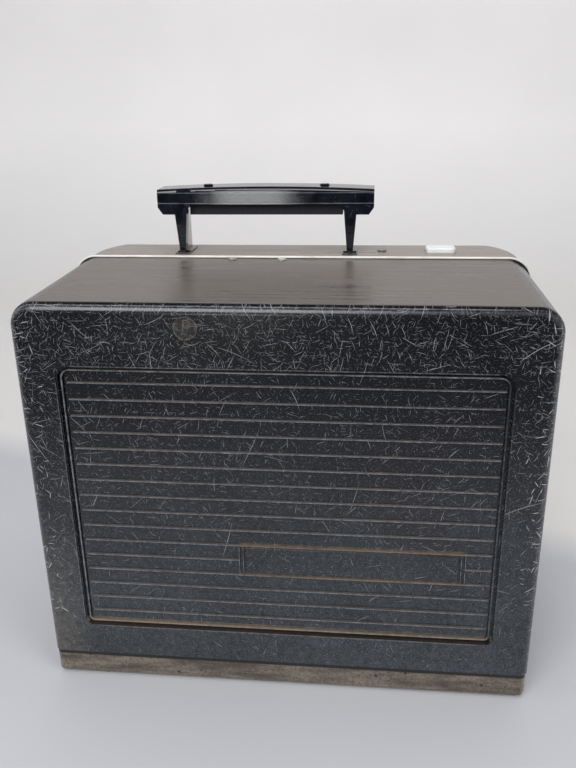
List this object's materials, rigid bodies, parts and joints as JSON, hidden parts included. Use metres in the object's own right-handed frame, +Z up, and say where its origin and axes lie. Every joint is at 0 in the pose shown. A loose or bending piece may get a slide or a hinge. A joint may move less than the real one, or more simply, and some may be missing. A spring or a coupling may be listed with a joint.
{
  "type": "movie projector",
  "caption": "Small-gauge movie projector closed in its own moulded carrying case, with ribbed cover, retracting handle and film mechanism inside.",
  "frame": {"origin": "middle of the footprint, on the surface it stands on", "axes": "+X towards the screen, -Y towards the operator and the removable cover, +Z up"},
  "size_m": [0.3258, 0.198, 0.3165],
  "materials": {
    "case_plastic": "scratched moulded",
    "grip_plastic": "polished moulded",
    "inner_plastic": "fine grain",
    "bright_trim": "bright rolled",
    "zinc_steel": "zinc plated",
    "plated_steel": "plated",
    "die_cast": "die cast",
    "latch_alu": "brushed",
    "rubber": "dull",
    "tray_paint": "worn",
    "brass": "turned",
    "glass": "coated",
    "mirror": "coated reflector",
    "grey_paint": "satin",
    "reel_plastic": "moulded",
    "coil_wrap": "varnished tape",
    "nylon": "moulded",
    "black_paint": "anodised black"
  },
  "bodies": {
    "case": {"base_tray": "tray_paint", "rubber_feet": "rubber", "deck_plate": "grey_paint", "deck_angles": "zinc_steel", "rear_housing": "case_plastic", "trim_band": "bright_trim", "housing_screws": "zinc_steel", "handle_guides": "inner_plastic", "gate_block": "die_cast", "carrier_rods": "plated_steel", "lamp": "mirror", "lamp_socket": "nylon", "bearing_blocks": "die_cast", "shaft_bushes": "brass", "claw": "zinc_steel", "guide_shoes": "inner_plastic", "motor": "zinc_steel", "motor_cradle": "zinc_steel", "fan_scroll": "inner_plastic", "drive_belt": "rubber", "transformer_core": "black_paint", "transformer_coil": "coil_wrap", "power_inlet": "inner_plastic", "control_plate": "grey_paint"},
    "cover": {"front_cover": "case_plastic", "badge_plate": "case_plastic", "cover_tongue": "zinc_steel", "cover_strike": "zinc_steel"},
    "handle": {"handle_grip": "grip_plastic", "handle_strap": "plated_steel", "handle_screws": "grip_plastic"},
    "latch": {"latch_button": "latch_alu", "latch_hook": "zinc_steel"},
    "tilt_foot": {"tilt_foot": "rubber"},
    "tilt_lock": {"tilt_lock_knob": "inner_plastic"},
    "lens_carrier": {"lens_carrier": "die_cast", "pressure_plate": "zinc_steel"},
    "lens": {"lens_barrel": "black_paint", "front_lens": "glass", "rear_lens": "glass"},
    "focus": {"focus_knob": "inner_plastic"},
    "lamp_house": {"lamp_house": "grey_paint"},
    "main_shaft": {"main_shaft": "zinc_steel", "shutter": "black_paint"},
    "upper_sprocket": {"upper_sprocket": "nylon", "upper_worm_wheel": "nylon"},
    "lower_sprocket": {"lower_sprocket": "nylon", "lower_worm_wheel": "nylon"},
    "takeup": {"takeup_spindle": "zinc_steel", "takeup_worm_wheel": "nylon", "takeup_reel": "reel_plastic"},
    "feed_arm": {"feed_arm": "die_cast"},
    "feed_spindle": {"feed_spindle": "zinc_steel"},
    "motor_rotor": {"motor_shaft": "zinc_steel", "fan_wheel": "inner_plastic"},
    "selector": {"selector_knob": "inner_plastic"},
    "speed": {"speed_knob": "inner_plastic"},
    "framing": {"framing_knob": "inner_plastic"},
    "rocker": {"rocker_switch": "inner_plastic"}
  },
  "joints": [
    {"name": "cover_slide", "type": "slide", "parent": "case", "child": "cover", "axis": [0, -1, 0], "range_m": [0, 0.2]},
    {"name": "handle_slide", "type": "slide", "parent": "case", "child": "handle", "axis": [0, 0, 1], "range_m": [-0.022, 0]},
    {"name": "latch_press", "type": "slide", "parent": "case", "child": "latch", "axis": [0, 0, -1], "range_m": [0, 0.003], "stiffness_N_per_m": 300, "springref_m": -0.004},
    {"name": "tilt_foot_slide", "type": "slide", "parent": "case", "child": "tilt_foot", "axis": [0, 0, -1], "range_m": [0, 0.015]},
    {"name": "tilt_lock_turn", "type": "hinge", "parent": "case", "child": "tilt_lock", "pos_m": [0.096, -0.062, 0.0255], "axis": [0, 1, 0], "range_deg": [0, 180]},
    {"name": "carrier_slide", "type": "slide", "parent": "case", "child": "lens_carrier", "axis": [1, 0, 0], "range_m": [0, 0.008], "stiffness_N_per_m": 400, "springref_m": -0.004},
    {"name": "lens_focus", "type": "slide", "parent": "lens_carrier", "child": "lens", "axis": [1, 0, 0], "range_m": [0, 0.005]},
    {"name": "focus_turn", "type": "hinge", "parent": "lens_carrier", "child": "focus", "pos_m": [0.089, -0.002, 0.1164], "axis": [0, 1, 0], "range_deg": [0, 125]},
    {"name": "lamp_house_pull", "type": "slide", "parent": "case", "child": "lamp_house", "axis": [0, -1, 0], "range_m": [0, 0.045]},
    {"name": "main_shaft_spin", "type": "hinge", "parent": "case", "child": "main_shaft", "pos_m": [0, 0.042, 0.135], "axis": [1, 0, 0], "continuous": true},
    {"name": "motor_spin", "type": "hinge", "parent": "case", "child": "motor_rotor", "pos_m": [0, 0.058, 0.054], "axis": [1, 0, 0], "continuous": true},
    {"name": "upper_sprocket_spin", "type": "hinge", "parent": "case", "child": "upper_sprocket", "pos_m": [0.098, 0, 0.169], "axis": [0, 1, 0], "continuous": true},
    {"name": "lower_sprocket_spin", "type": "hinge", "parent": "case", "child": "lower_sprocket", "pos_m": [0.098, 0, 0.101], "axis": [0, 1, 0], "continuous": true},
    {"name": "takeup_spin", "type": "hinge", "parent": "case", "child": "takeup", "pos_m": [-0.0845, 0, 0.101], "axis": [0, 1, 0], "continuous": true},
    {"name": "feed_arm_swing", "type": "hinge", "parent": "case", "child": "feed_arm", "pos_m": [0.062, 0, 0.18], "axis": [0, 1, 0], "range_deg": [0, 110]},
    {"name": "feed_spindle_spin", "type": "hinge", "parent": "feed_arm", "child": "feed_spindle", "pos_m": [0.01177, 0, 0.209], "axis": [0, 1, 0], "continuous": true},
    {"name": "selector_turn", "type": "hinge", "parent": "case", "child": "selector", "pos_m": [0.12, 0, 0.049], "axis": [0, 1, 0], "range_deg": [0, 120]},
    {"name": "speed_turn", "type": "hinge", "parent": "case", "child": "speed", "pos_m": [0.086, 0, 0.06], "axis": [0, 1, 0], "range_deg": [0, 60]},
    {"name": "framing_turn", "type": "hinge", "parent": "case", "child": "framing", "pos_m": [0.086, 0, 0.036], "axis": [0, 1, 0], "range_deg": [-40, 40]},
    {"name": "rocker_tilt", "type": "hinge", "parent": "case", "child": "rocker", "pos_m": [0.066, 0.015, 0.049], "axis": [1, 0, 0], "range_deg": [-8, 8]}
  ],
  "couplings": [
    {"joint": "motor_spin", "follows": "main_shaft_spin", "ratio": 2},
    {"joint": "upper_sprocket_spin", "follows": "main_shaft_spin", "ratio": 0.083333},
    {"joint": "lower_sprocket_spin", "follows": "main_shaft_spin", "ratio": -0.083333},
    {"joint": "takeup_spin", "follows": "main_shaft_spin", "ratio": -0.083333},
    {"joint": "focus_turn", "follows": "lens_focus", "rad_per_m": 434}
  ]
}
